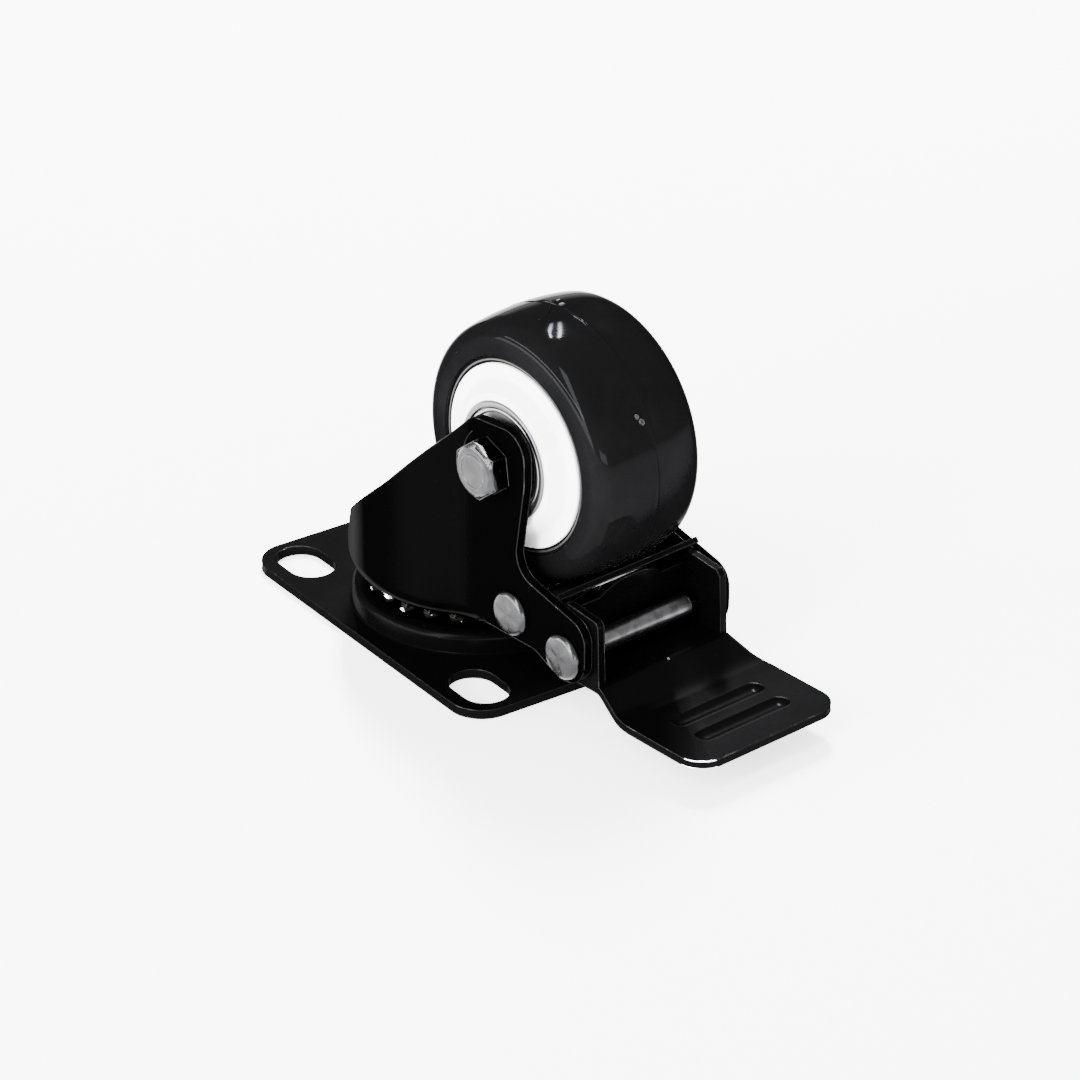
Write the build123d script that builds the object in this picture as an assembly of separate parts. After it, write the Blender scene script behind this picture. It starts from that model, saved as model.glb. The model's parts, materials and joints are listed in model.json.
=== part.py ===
from build123d import *
import os
from math import cos, radians, sin, sqrt

# Swivel plate caster with a foot brake, lying on its mounting plate with the wheel up.
# Origin: where the swivel axis meets the plate's mounting face. +Z points to the wheel.
# The fork group is drawn with +X towards the pedal and turned to its rest angle at the end.

# Driving dimensions in millimetres and degrees
REST_SWIVEL = 5.8        # fork turned about the swivel axis, against the plate
SHEET = 1.8              # pressed steel of the plate and the fork
FIT = 0.05               # running clearance on a radius

PLATE_LENGTH = 74.0
PLATE_WIDTH = 53.0
PLATE_CORNER_R = 6.5
SLOT_SPACING_X = 57.0
SLOT_SPACING_Y = 38.5
SLOT_LENGTH = 13.0
SLOT_WIDTH = 9.0

BOSS_FOOT_R = 23.0       # round raised boss of the plate, at its foot
BOSS_RIM_R = 21.8        # and at its top rim
BOSS_TOP = 5.7
PIN_R = 4.5
PIN_HEAD_R = 8.5
PIN_RIVETED_R = 7.0

LOWER_BALL_R = 2.25
LOWER_PITCH_R = 18.8
LOWER_BALLS = 24
UPPER_BALL_R = 2.0
UPPER_PITCH_R = 9.5
UPPER_BALLS = 13
RACE_GAP = 3.2           # between the two sheets that hold the lower balls
CAP_GAP = 2.6            # between the fork and the cap over the upper balls
CAP_R = 13.4

FORK_R = 23.6            # round back of the fork
LEG_Y = 17.2             # outer face of the straight legs
NECK_R = 10.0            # hollow curve between the round back and a leg
FORK_BEND_R = 4.2

WHEEL_R = 25.0
WHEEL_HALF = 12.0
TRAIL = 24.0             # axle ahead of the swivel axis
AXLE_Z = 43.5
HUB_R = 17.1
HUB_FACE = 11.8
HUB_BOSS = 14.2          # raised ring of the hub round each bearing
AXLE_R = 3.0
HEX_FLATS = 9.7
HEX_TURN = 38.0          # one corner of the bolt head, seen from the head side
BOLT_HEAD = 4.0
BOLT_END = 8.0           # thread end beyond the far leg
AXLE_SEAT_R = 6.8        # flat seat pressed round the axle hole of each leg
SLEEVE_TUBE_R = 4.0      # tube on the bolt that carries both bearings

BEARING_R = 11.0
BEARING_WIDTH = 7.0
BEARING_MID = 11.0       # bearing's middle from the wheel's middle
BEARING_PITCH_R = 7.6
BEARING_BALL_R = 1.985
BEARING_BALLS = 7

SHANK_R = 1.6            # both brake rivets
RIVET_HEAD_R = 4.3
RIVET_EDGE = 0.5         # straight edge of a rivet head under its dome
RIVET_DOME = 1.0
SHOE_PIVOT = (29.9, 16.5)
PEDAL_PIVOT = (43.9, 13.7)
SLEEVE_R = 2.05
SLEEVE_HALF = 11.3

PEDAL_SHEET = 1.5
CHEEK_Y = 15.15
PEDAL_FLOOR = 9.6        # upper face of the channel floor
PAD_Z = 6.6              # upper face of the foot pad
PAD_END = 79.0
PAD_Y = 17.0
GROOVES_X = (65.0, 71.5)
GROOVE_LENGTH = 21.4
GROOVE_WIDTH = 4.2
GROOVE_DEPTH = 0.8

SHOE_GAP = 0.6           # between tread and shoe with the pedal up
SHOE_SHEET = 1.0
SHOE_Y = 15.1
SHOE_TAB_Y = 16.4
SHOE_TOP = -47.5         # ends of the shoe's arc, measured about the axle from +X
SHOE_TAB_END = -49.2
SHOE_END = -71.0

# Heights that follow from the stack of the swivel head
LOWER_BALL_Z = BOSS_TOP + RACE_GAP / 2
WEB_Z = BOSS_TOP + RACE_GAP
WEB_TOP = WEB_Z + SHEET
UPPER_BALL_Z = WEB_TOP + CAP_GAP / 2
CAP_Z = WEB_TOP + CAP_GAP
CAP_TOP = CAP_Z + 2.0
LEG_INNER_Y = LEG_Y - SHEET
BEARING_OUT = BEARING_MID + BEARING_WIDTH / 2
BEARING_IN = BEARING_MID - BEARING_WIDTH / 2


def outline(corners):
    """Flat face from (u, v, corner radius) triples."""
    face = make_face(Polyline(*[(u, v) for u, v, _ in corners], close=True)).face()
    for u, v, radius in corners:
        if radius:
            corner = face.vertices().sort_by_distance((u, v, 0))[0]
            face = face.fillet_2d(radius, [corner])
    return face


def slab(face, y_from, y_to):
    """Side view outline, given as (x, z), carried from one Y to another."""
    upright = Pos(0, y_from, 0) * (Plane.XZ * face)
    return extrude(upright, amount=y_to - y_from, dir=(0, 1, 0))


def turned(corners):
    """Solid turned about the swivel axis from (radius, z, corner radius) triples."""
    return revolve(Plane.XZ * outline(corners), Axis.Z)


def wheel_turned(corners):
    """Solid turned about the axle from (radius, y, corner radius) triples."""
    return Pos(TRAIL, 0, AXLE_Z) * revolve(outline(corners), Axis.Y)


def cross_hole(x, z, radius):
    """Cylinder across the whole fork, at a point of the side view."""
    return Pos(x, 0, z) * Rot(90, 0, 0) * Cylinder(radius, 4 * LEG_Y)


def about_axle(radius, angle):
    """Point of the side view at a radius and an angle about the axle."""
    return (TRAIL + radius * cos(radians(angle)), AXLE_Z + radius * sin(radians(angle)))


def ball_track(pitch_r, ball_r, z):
    return Pos(0, 0, z) * Torus(pitch_r, ball_r + FIT)


def ball_ring(count, pitch_r, ball_r, z):
    return Part() + [spot * Sphere(ball_r) for spot in Pos(0, 0, z) * PolarLocations(pitch_r, count)]


# Mounting plate and what is riveted to it

def mounting_plate():
    boss_zone_r = BOSS_FOOT_R + 2.0
    blank = RectangleRounded(PLATE_LENGTH, PLATE_WIDTH, PLATE_CORNER_R) - Circle(boss_zone_r)
    blank -= GridLocations(SLOT_SPACING_X, SLOT_SPACING_Y, 2, 2) * SlotOverall(SLOT_LENGTH, SLOT_WIDTH)
    boss = turned([
        (PIN_R, BOSS_TOP - SHEET, 0),
        (BOSS_RIM_R - SHEET, BOSS_TOP - SHEET, 0.5),
        (BOSS_FOOT_R - SHEET, 0, 0.8),
        (boss_zone_r, 0, 0),
        (boss_zone_r, SHEET, 0),
        (BOSS_FOOT_R, SHEET, 0.8),
        (BOSS_RIM_R, BOSS_TOP, 1.4),
        (PIN_R, BOSS_TOP, 0),
    ])
    return extrude(blank, SHEET) + boss - ball_track(LOWER_PITCH_R, LOWER_BALL_R, LOWER_BALL_Z)


def king_pin():
    head_top = BOSS_TOP - SHEET
    head_bottom = head_top - 2.2
    riveted_top = CAP_TOP + 1.9
    return turned([
        (0, head_bottom, 0),
        (PIN_HEAD_R, head_bottom, 0.5),
        (PIN_HEAD_R, head_top, 0),
        (PIN_R, head_top, 0),
        (PIN_R, CAP_TOP, 0),
        (PIN_RIVETED_R, CAP_TOP, 0),
        (PIN_RIVETED_R, riveted_top, 1.3),
        (0, riveted_top, 0),
    ])


def race_cap():
    rim_z = WEB_TOP + 0.5
    rim_inner_r = CAP_R - 1.2
    cap = turned([
        (PIN_R, CAP_Z, 0),
        (rim_inner_r, CAP_Z, 0.3),
        (rim_inner_r, rim_z, 0),
        (CAP_R, rim_z, 0),
        (CAP_R, CAP_TOP, 1.2),
        (PIN_R, CAP_TOP, 0),
    ])
    return cap - ball_track(UPPER_PITCH_R, UPPER_BALL_R, UPPER_BALL_Z)


def lower_balls():
    return ball_ring(LOWER_BALLS, LOWER_PITCH_R, LOWER_BALL_R, LOWER_BALL_Z)


def upper_balls():
    return ball_ring(UPPER_BALLS, UPPER_PITCH_R, UPPER_BALL_R, UPPER_BALL_Z)


# Fork: a pressed cup with a round back, two straight legs and an ear on each for the brake

PRESSING_REACH = 60.0    # the pressing is drawn longer than the ears and cut by the side view


def fork_plan(inset):
    """Plan of the fork's outside, drawn in by an inset."""
    radius = FORK_R - inset
    half = LEG_Y - inset
    plan = Circle(radius) + Pos(PRESSING_REACH / 2, 0) * Rectangle(PRESSING_REACH, 2 * half)
    plan = plan.face()
    neck_x = sqrt(radius ** 2 - half ** 2)
    for side in (-1, 1):
        corner = plan.vertices().sort_by_distance((neck_x, side * half, 0))[0]
        plan = plan.fillet_2d(NECK_R + inset, [corner])
    return plan


def fork_side():
    """Side view of a leg: sloping back edge, round top at the axle, neck, ear and lower edge."""
    back_x = -26.0
    front_x = 33.2
    ear_x = 49.3
    ear_low = 8.7
    lower_edge = 11.6
    return outline([
        (back_x, WEB_Z, 0),
        (18.0, WEB_Z, 2.0),
        (20.0, lower_edge, 1.5),
        (36.0, lower_edge, 4.0),
        (42.3, ear_low, 4.0),
        (ear_x, ear_low, 5.4),
        (ear_x, 20.8, 4.2),
        (30.4, 25.3, 5.0),
        (front_x, 42.5, 8.0),
        (front_x, 52.6, 5.0),
        (19.2, 51.4, 4.0),
        (2.5, 33.75, 60.0),
        (-10.3, 22.8, 3.5),
        (-14.0, 15.2, 2.5),
        (back_x, 13.0, 0),
    ])


def fork():
    height = AXLE_Z + 10
    front_x = 16.0
    ear_start = 22.5
    pressing = Pos(0, 0, WEB_Z) * extrude(fork_plan(0), height)
    pressing = fillet(pressing.edges().group_by(Axis.Z)[0], FORK_BEND_R)
    hollow = Pos(0, 0, WEB_TOP) * extrude(fork_plan(SHEET), height)
    hollow = fillet(hollow.edges().group_by(Axis.Z)[0], FORK_BEND_R - SHEET)
    between_legs = Pos(front_x, 0, 0) * Box(
        PRESSING_REACH, 2 * LEG_INNER_Y, 4 * height, align=(Align.MIN, Align.CENTER, Align.CENTER))
    cup = Pos(0, 0, WEB_Z) * Cylinder(FORK_R, 2 * SHEET, align=(Align.CENTER, Align.CENTER, Align.MIN))
    side_view = slab(fork_side(), -2 * FORK_R, 2 * FORK_R) - between_legs
    body = (pressing - hollow) & (side_view + cup)
    ahead = Pos(ear_start, 0, 0) * Box(
        PRESSING_REACH, 4 * FORK_R, 4 * height, align=(Align.MIN, Align.CENTER, Align.CENTER))
    for y in (-LEG_Y, LEG_INNER_Y):
        body += slab(fork_side(), y, y + SHEET) & ahead
    body -= cross_hole(TRAIL, AXLE_Z, AXLE_R + FIT)
    for side in (-1, 1):
        body -= Pos(TRAIL, side * 2 * LEG_Y, AXLE_Z) * Rot(90, 0, 0) * Cylinder(AXLE_SEAT_R, 2 * LEG_Y)
    for pivot in (SHOE_PIVOT, PEDAL_PIVOT):
        body -= cross_hole(*pivot, SHANK_R)
    body -= Pos(0, 0, WEB_Z) * Cylinder(PIN_R + 0.6, 4 * SHEET)
    body -= ball_track(LOWER_PITCH_R, LOWER_BALL_R, LOWER_BALL_Z)
    return body - ball_track(UPPER_PITCH_R, UPPER_BALL_R, UPPER_BALL_Z)


# Axle and its fasteners

def hexagon(height, turn):
    """Hexagon with its outer corners chamfered, standing on the X-Y plane."""
    corner_r = HEX_FLATS / sqrt(3)
    face_r = 0.82 * HEX_FLATS / 2
    chamfer_z = height - (corner_r - face_r) * sqrt(1 / 3)
    bound = turned([
        (0, 0, 0),
        (corner_r, 0, 0),
        (corner_r, chamfer_z, 0),
        (face_r, height, 0),
        (0, height, 0),
    ])
    flats = RegularPolygon(HEX_FLATS / 2, 6, major_radius=False, rotation=turn)
    return extrude(flats, height) & bound


def axle_bolt():
    near_face = Plane((TRAIL, -LEG_Y, AXLE_Z), x_dir=(1, 0, 0), z_dir=(0, -1, 0))
    grip = 2 * LEG_Y + BOLT_END
    shank = chamfer(Cylinder(AXLE_R, grip).edges().group_by(Axis.Z)[0], 0.8)
    return near_face * (hexagon(BOLT_HEAD, HEX_TURN) + Pos(0, 0, -grip / 2) * shank)


NUT_HEX = 4.6
NUT_COLLAR = 6.0
INSERT_Z = 4.8
INSERT_R = 3.9


def axle_nut():
    collar = turned([
        (0, 0, 0),
        (HEX_FLATS / 2 - 0.5, 0, 0),
        (HEX_FLATS / 2 - 0.5, NUT_COLLAR, 0.4),
        (0, NUT_COLLAR, 0),
    ])
    seat = Pos(0, 0, INSERT_Z) * Cylinder(INSERT_R, NUT_COLLAR, align=(Align.CENTER, Align.CENTER, Align.MIN))
    nut = hexagon(NUT_HEX, 0) + collar - Cylinder(AXLE_R, 4 * NUT_COLLAR) - seat
    return far_face() * nut


def nut_insert():
    ring = Circle(INSERT_R) - Circle(AXLE_R)
    return far_face() * (Pos(0, 0, INSERT_Z) * extrude(ring, NUT_COLLAR - INSERT_Z - 0.3))


def far_face():
    """Plane on the far leg's outer face at the axle, looking away from the wheel."""
    return Plane((TRAIL, LEG_Y, AXLE_Z), x_dir=(-1, 0, 0), z_dir=(0, 1, 0))


def axle_ring(inner_r, outer_r, y_from, y_to):
    """Plain ring about the axle between two planes across it."""
    return wheel_turned([
        (inner_r, y_from, 0),
        (outer_r, y_from, 0),
        (outer_r, y_to, 0),
        (inner_r, y_to, 0),
    ])


def axle_tube():
    return axle_ring(AXLE_R, SLEEVE_TUBE_R, -LEG_INNER_Y, LEG_INNER_Y)


def axle_spacer():
    return axle_ring(SLEEVE_TUBE_R, INNER_RACE_R - 0.4, -BEARING_IN, BEARING_IN)


def axle_washers():
    """One washer between each bearing's inner ring and the leg beside it."""
    washer_r = INNER_RACE_R + 0.2
    washers = Part()
    for side in (-1, 1):
        washers += axle_ring(SLEEVE_TUBE_R, washer_r, side * BEARING_OUT, side * LEG_INNER_Y)
    return washers


# Wheel: white hub, moulded tyre and a ball bearing pressed into each side

RIM_R = 18.6             # hub under the tyre
RIM_HALF = 9.6
LIP_FACE = 11.4          # narrow tyre lip against the hub face
LIP_STEP = 1.2


def wheel_hub():
    half = [
        (9.0, BEARING_IN, 0),
        (BEARING_R, BEARING_IN, 0),
        (BEARING_R, HUB_BOSS, 0.2),
        (12.3, HUB_BOSS, 0.5),
        (14.5, HUB_FACE, 1.0),
        (HUB_R, HUB_FACE, 0.3),
        (HUB_R, 10.4, 0),
        (RIM_R, RIM_HALF, 0),
    ]
    return wheel_turned(half + [(r, -y, corner) for r, y, corner in reversed(half)])


def tyre():
    shoulder_r = 3.6
    crown_drop = 1.3
    edge_r = WHEEL_R - crown_drop
    side = [
        (edge_r, WHEEL_HALF),
        (HUB_R + LIP_STEP, WHEEL_HALF),
        (HUB_R + LIP_STEP, LIP_FACE),
        (HUB_R, LIP_FACE),
        (HUB_R, 10.4),
        (RIM_R, RIM_HALF),
    ]
    crown = ThreePointArc((edge_r, -WHEEL_HALF), (WHEEL_R, 0), (edge_r, WHEEL_HALF))
    inside = Polyline(*side, *[(r, -y) for r, y in reversed(side)])
    profile = make_face([*crown.edges(), *inside.edges()]).face()
    for y in (-WHEEL_HALF, WHEEL_HALF):
        corner = profile.vertices().sort_by_distance((edge_r, y, 0))[0]
        profile = profile.fillet_2d(shoulder_r, [corner])
    return Pos(TRAIL, 0, AXLE_Z) * revolve(profile, Axis.Y)


INNER_RACE_R = 6.0
OUTER_RACE_R = 9.2
SHIELD_R = 9.9           # step in the outer ring that holds a shield
SHIELD_Y = 2.7           # shield's inner face from the bearing's middle
SHIELD_SHEET = 0.3
SHIELD_RIM = 0.65        # height of the shield's rolled rim


def bearing_track(side):
    return Pos(TRAIL, side * BEARING_MID, AXLE_Z) * Rot(90, 0, 0) * Torus(
        BEARING_PITCH_R, BEARING_BALL_R + FIT)


def bearing_balls(side):
    circle = Pos(TRAIL, side * BEARING_MID, AXLE_Z) * Rot(90, 0, 0)
    return Part() + [
        circle * spot * Sphere(BEARING_BALL_R) for spot in PolarLocations(BEARING_PITCH_R, BEARING_BALLS)]


def bearing_outer(side):
    outside = [
        (OUTER_RACE_R, BEARING_MID + SHIELD_Y, 0),
        (SHIELD_R, BEARING_MID + SHIELD_Y, 0),
        (SHIELD_R, BEARING_OUT, 0.15),
        (BEARING_R, BEARING_OUT, 0.4),
    ]
    inside = [(r, 2 * BEARING_MID - y, corner) for r, y, corner in reversed(outside)]
    ring = wheel_turned([(r, side * y, corner) for r, y, corner in outside + inside])
    return ring - bearing_track(side)


def bearing_inner(side):
    ring = axle_ring(SLEEVE_TUBE_R, INNER_RACE_R, side * BEARING_IN, side * BEARING_OUT)
    return ring - bearing_track(side)


def bearing_cage(side):
    """Crown cage: a ring on one side of the balls, with pockets that hold them apart."""
    pocket_r = BEARING_BALL_R + 2 * FIT
    crown = axle_ring(6.8, 8.4, side * (BEARING_MID - 1.2), side * (BEARING_MID + 2.6))
    circle = Pos(TRAIL, side * BEARING_MID, AXLE_Z) * Rot(90, 0, 0)
    for spot in PolarLocations(BEARING_PITCH_R, BEARING_BALLS):
        crown -= circle * spot * Sphere(pocket_r)
    return crown


def bearing_shields(side):
    """Two pressed discs with a rolled rim, held by the outer ring and just clear of the inner one."""
    bore_r = INNER_RACE_R + 0.2
    rim_r = SHIELD_R - 0.9
    shields = Part()
    for way in (-1, 1):
        steps = [
            (bore_r, 0, 0),
            (SHIELD_R, 0, 0),
            (SHIELD_R, SHIELD_RIM, 0.2),
            (rim_r, SHIELD_RIM, 0.2),
            (rim_r, SHIELD_SHEET, 0),
            (bore_r, SHIELD_SHEET, 0),
        ]
        shields += wheel_turned(
            [(r, side * (BEARING_MID + way * (SHIELD_Y + y)), corner) for r, y, corner in steps])
    return shields


# Brake: a pedal on the front rivet whose web pushes a curved shoe against the tread

def dome(radius, height, base_y, way):
    """Arc of a domed end, from its rim at base_y to its top on the axis."""
    ball = (radius ** 2 + height ** 2) / (2 * height)
    waist = radius / 2
    rise = sqrt(ball ** 2 - waist ** 2) - ball + height
    return ThreePointArc((radius, base_y), (waist, base_y + way * rise), (0, base_y + way * height))


def rivet(pivot):
    """Through rivet with a domed head on the near side and a smaller closed end on the far side."""
    head_y = -LEG_Y - RIVET_EDGE
    tail_y = LEG_Y + RIVET_EDGE
    tail_r = 0.8 * RIVET_HEAD_R
    head_arc = dome(RIVET_HEAD_R, RIVET_DOME, head_y, -1)
    tail_arc = dome(tail_r, RIVET_DOME, tail_y, 1)
    shank = Polyline(
        (tail_r, tail_y), (tail_r, LEG_Y), (SHANK_R, LEG_Y),
        (SHANK_R, -LEG_Y), (RIVET_HEAD_R, -LEG_Y), (RIVET_HEAD_R, head_y))
    axis_line = Line((0, head_y - RIVET_DOME), (0, tail_y + RIVET_DOME))
    profile = make_face([*head_arc.edges(), *axis_line.edges(), *tail_arc.edges(), *shank.edges()])
    return Pos(pivot[0], 0, pivot[1]) * revolve(profile, Axis.Y)


def pedal_sleeve():
    tube = Circle(SLEEVE_R) - Circle(SHANK_R)
    along = Pos(PEDAL_PIVOT[0], SLEEVE_HALF, PEDAL_PIVOT[1]) * Rot(90, 0, 0)
    return along * extrude(tube, 2 * SLEEVE_HALF)


WEB_LEAN = 0.119         # forward lean of the pedal's web, run over rise
WEB_SHOULDER = 21.2


def web_front(z):
    """X of the web's front face at a height."""
    return PEDAL_PIVOT[0] - 2.5 + WEB_LEAN * (z - PEDAL_PIVOT[1])


def pedal_strip():
    """Side view of the pressed strip: web, channel floor, slope and foot pad."""
    path = FilletPolyline(
        (web_front(WEB_SHOULDER), WEB_SHOULDER),
        (web_front(PEDAL_FLOOR), PEDAL_FLOOR),
        (51.0, PEDAL_FLOOR),
        (57.5, PAD_Z),
        (PAD_END, PAD_Z),
        radius=[1.2, 3.0, 10.0])
    return make_face(offset(path, PEDAL_SHEET, side=Side.RIGHT).edges())


def pedal_plan():
    neck_x = 50.8
    flare_x = 59.0
    half = [(30.0, CHEEK_Y, 0), (neck_x, CHEEK_Y, 12.0), (flare_x, PAD_Y, 24.0), (PAD_END, PAD_Y, 5.0)]
    return outline(half + [(x, -y, corner) for x, y, corner in reversed(half)])


def pedal_cheek():
    """Side view of the cheek that the rivet passes through."""
    rear = PEDAL_SHEET * 1.01
    top_z = 22.8
    return outline([
        (web_front(PEDAL_FLOOR) - rear, PEDAL_FLOOR - PEDAL_SHEET, 1.8),
        (50.9, PEDAL_FLOOR - PEDAL_SHEET, 0.5),
        (50.4, 22.0, 1.2),
        (web_front(top_z), top_z, 0.6),
        (web_front(top_z) - rear, top_z - 0.5, 0.4),
    ])


def pedal_nose():
    """Arched middle of the web's top edge, which pushes the shoe."""
    top_front = 23.4
    top_rear = 22.65
    root = WEB_SHOULDER - 1.0
    rear = PEDAL_SHEET * 1.01
    side = outline([
        (web_front(root), root, 0),
        (web_front(top_front), top_front, 0),
        (web_front(top_rear) - rear, top_rear, 0),
        (web_front(root) - rear, root, 0),
    ])
    foot_y = 7.4
    arch = ThreePointArc((-foot_y, WEB_SHOULDER), (0, top_front + 0.2), (foot_y, WEB_SHOULDER))
    below = Polyline((-foot_y, WEB_SHOULDER), (-foot_y, root), (foot_y, root), (foot_y, WEB_SHOULDER))
    front = make_face([*arch.edges(), *below.edges()])
    return slab(side, -foot_y, foot_y) & extrude(Plane.YZ * front, PRESSING_REACH)


def groove(radius):
    """Round bar across the pad with a ball at each end, whose underside presses a groove."""
    length = GROOVE_LENGTH - GROOVE_WIDTH
    balls = [Pos(0, y, 0) * Sphere(radius) for y in (-length / 2, length / 2)]
    return Rot(90, 0, 0) * Cylinder(radius, length) + balls


def brake_pedal():
    inner_y = CHEEK_Y - PEDAL_SHEET
    body = slab(pedal_strip(), -PAD_Y, PAD_Y) & extrude(pedal_plan(), 4 * PEDAL_FLOOR)
    for y in (-CHEEK_Y, inner_y):
        body += slab(pedal_cheek(), y, y + PEDAL_SHEET)
    body += pedal_nose()
    groove_r = (GROOVE_WIDTH ** 2 / 4 + GROOVE_DEPTH ** 2) / (2 * GROOVE_DEPTH)
    under_pad = Pos(PAD_END, 0, PAD_Z - PEDAL_SHEET) * Box(
        PAD_END, 2 * PAD_Y, PAD_Z, align=(Align.CENTER, Align.CENTER, Align.MAX))
    for x in GROOVES_X:
        middle = Pos(x, 0, PAD_Z - GROOVE_DEPTH + groove_r)
        body += middle * groove(groove_r + PEDAL_SHEET) & under_pad
        body -= middle * groove(groove_r)
    return body - cross_hole(*PEDAL_PIVOT, SHANK_R + FIT)


def shoe_arc(start, end):
    """Side view of the shoe's curved plate between two angles about the axle."""
    inner_r = WHEEL_R + SHOE_GAP
    outer_r = inner_r + SHOE_SHEET
    middle = (start + end) / 2
    inner = ThreePointArc(*[about_axle(inner_r, angle) for angle in (start, middle, end)])
    outer = ThreePointArc(*[about_axle(outer_r, angle) for angle in (start, middle, end)])
    ends = [Line(about_axle(inner_r, angle), about_axle(outer_r, angle)) for angle in (start, end)]
    return make_face([*inner.edges(), *outer.edges(), *ends[0].edges(), *ends[1].edges()])


def brake_shoe():
    lug_sheet = 1.2
    lug_r = 2.6
    root_r = 1.3
    body = slab(shoe_arc(SHOE_TOP, SHOE_END), -SHOE_Y, SHOE_Y)
    body += slab(shoe_arc(SHOE_TOP, SHOE_TAB_END), -SHOE_TAB_Y, SHOE_TAB_Y)
    root = Pos(*about_axle(WHEEL_R + SHOE_GAP + root_r, -61)) * Circle(root_r)
    eye = Pos(*SHOE_PIVOT) * Circle(lug_r)
    lug = make_hull([*root.edges(), *eye.edges()])
    for y in (-SHOE_Y, SHOE_Y - lug_sheet):
        body += slab(lug, y, y + lug_sheet)
    return body - cross_hole(*SHOE_PIVOT, SHANK_R + FIT)


def main():
    os.makedirs("parts", exist_ok=True)
    fixed = {
        "mounting_plate": mounting_plate(),
        "king_pin": king_pin(),
        "race_cap": race_cap(),
        "lower_balls": lower_balls(),
        "upper_balls": upper_balls(),
    }
    turning = {
        "fork": fork(),
        "axle_bolt": axle_bolt(),
        "axle_nut": axle_nut(),
        "nut_insert": nut_insert(),
        "axle_tube": axle_tube(),
        "axle_spacer": axle_spacer(),
        "axle_washers": axle_washers(),
        "wheel_hub": wheel_hub(),
        "tyre": tyre(),
        "shoe_rivet": rivet(SHOE_PIVOT),
        "pedal_rivet": rivet(PEDAL_PIVOT),
        "pedal_sleeve": pedal_sleeve(),
        "brake_pedal": brake_pedal(),
        "brake_shoe": brake_shoe(),
    }
    for name, side in (("near", -1), ("far", 1)):
        turning[f"bearing_outer_{name}"] = bearing_outer(side)
        turning[f"bearing_inner_{name}"] = bearing_inner(side)
        turning[f"bearing_balls_{name}"] = bearing_balls(side)
        turning[f"bearing_cage_{name}"] = bearing_cage(side)
        turning[f"bearing_shields_{name}"] = bearing_shields(side)
    placed = fixed | {name: Rot(0, 0, REST_SWIVEL) * solid for name, solid in turning.items()}
    for name, solid in placed.items():
        export_step(solid, f"parts/{name}.step")


main()
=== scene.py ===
import json
from math import acos, atan2, cos, exp, pi, radians, sin, sqrt, tan, tau

import bmesh
import bpy
from bpy.props import FloatProperty, FloatVectorProperty, IntProperty, PointerProperty
from mathutils import Matrix, Quaternion, Vector, noise


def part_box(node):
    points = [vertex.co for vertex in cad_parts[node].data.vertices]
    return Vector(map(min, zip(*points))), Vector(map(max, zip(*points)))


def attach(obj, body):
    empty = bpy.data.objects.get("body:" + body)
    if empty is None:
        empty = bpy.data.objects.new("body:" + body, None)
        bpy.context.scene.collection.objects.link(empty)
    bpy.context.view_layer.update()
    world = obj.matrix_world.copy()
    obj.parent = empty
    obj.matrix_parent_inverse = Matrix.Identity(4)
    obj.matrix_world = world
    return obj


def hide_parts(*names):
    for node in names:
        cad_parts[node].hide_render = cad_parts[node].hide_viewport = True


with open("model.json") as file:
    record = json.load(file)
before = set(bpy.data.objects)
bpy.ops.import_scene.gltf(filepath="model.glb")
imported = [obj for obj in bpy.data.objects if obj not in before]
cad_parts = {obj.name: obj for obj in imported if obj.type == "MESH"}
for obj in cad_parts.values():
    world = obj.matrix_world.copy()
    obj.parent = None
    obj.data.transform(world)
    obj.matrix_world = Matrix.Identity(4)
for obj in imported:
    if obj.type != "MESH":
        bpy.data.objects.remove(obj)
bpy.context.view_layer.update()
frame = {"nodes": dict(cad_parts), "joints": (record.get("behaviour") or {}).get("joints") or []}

bl_info = {
    "name": "Braked swivel caster",
    "version": (1, 0, 0),
    "blender": (4, 5, 0),
    "location": "View3D > Sidebar > Caster",
    "description": "Finishes the packed caster with dressed meshes and procedural materials",
    "category": "Object",
}

MM = 0.001
JOINTS = {joint["name"]: joint for joint in frame["joints"]}


def turned_frame(joint_name):
    """Matrix that carries a lathe's own space, with its axis on Y, onto a level joint axis."""
    joint = JOINTS[joint_name]
    along = Vector(joint["axis"]).normalized()
    if along.y < 0:
        along.negate()
    up = Vector((0, 0, 1))
    turn = Matrix((along.cross(up), along, up)).transposed()
    return Matrix.Translation(joint["pos_m"]) @ turn.to_4x4()


WHEEL_PLACE = turned_frame("wheel_spin")
SHOE_RIVET_PLACE = turned_frame("shoe_swing")
PEDAL_RIVET_PLACE = turned_frame("pedal_tilt")
SWIVEL_TURN = atan2(WHEEL_PLACE[1][0], WHEEL_PLACE[0][0])
STAND_UP = Matrix.Rotation(pi / 2, 4, "X")

# From the wheel's middle plane to the outside of a fork leg, and the height of the bolt's head on it
LEG = 17.2 * MM
BOLT_HEAD = 4.0 * MM

# The pad's worn corner: reach and raggedness of the near-white patch round it, bare metal and partly a
# painted highlight, and reach of the dust
PAD_CORNER = Matrix.Rotation(SWIVEL_TURN, 3, "Z") @ Vector((77.4, -15.7, 5.2)) * MM
BARE_AND_HIGHLIGHT_REACH = 4.6 * MM
BARE_AND_HIGHLIGHT_RAGGED = 2.5 * MM
DUST_REACH = 32 * MM

# Copies of solids: points this close become one, faces this level become one, sharper edges stay sharp
MERGE = 0.002 * MM
LEVEL = radians(0.4)
SHARP_SOLID = radians(30)
SHARP_LATHE = radians(32)

# Edge beads: how deep a bead's middle lies, as a share of its radius, the angle between two faces from which
# their edge has a bead, and the shortest run that has one on the pressed sheet
BEAD_SINK = 0.75
SHEET_BEAD_ANGLE = radians(65)
FASTENER_BEAD_ANGLE = radians(38)
SHEET_BEAD_SHORTEST = 14 * MM


# Sizes and colours that a user would change

def length(name, text, default_mm):
    return FloatProperty(name=name, description=text, default=default_mm * MM, unit="LENGTH", precision=5)


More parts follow.
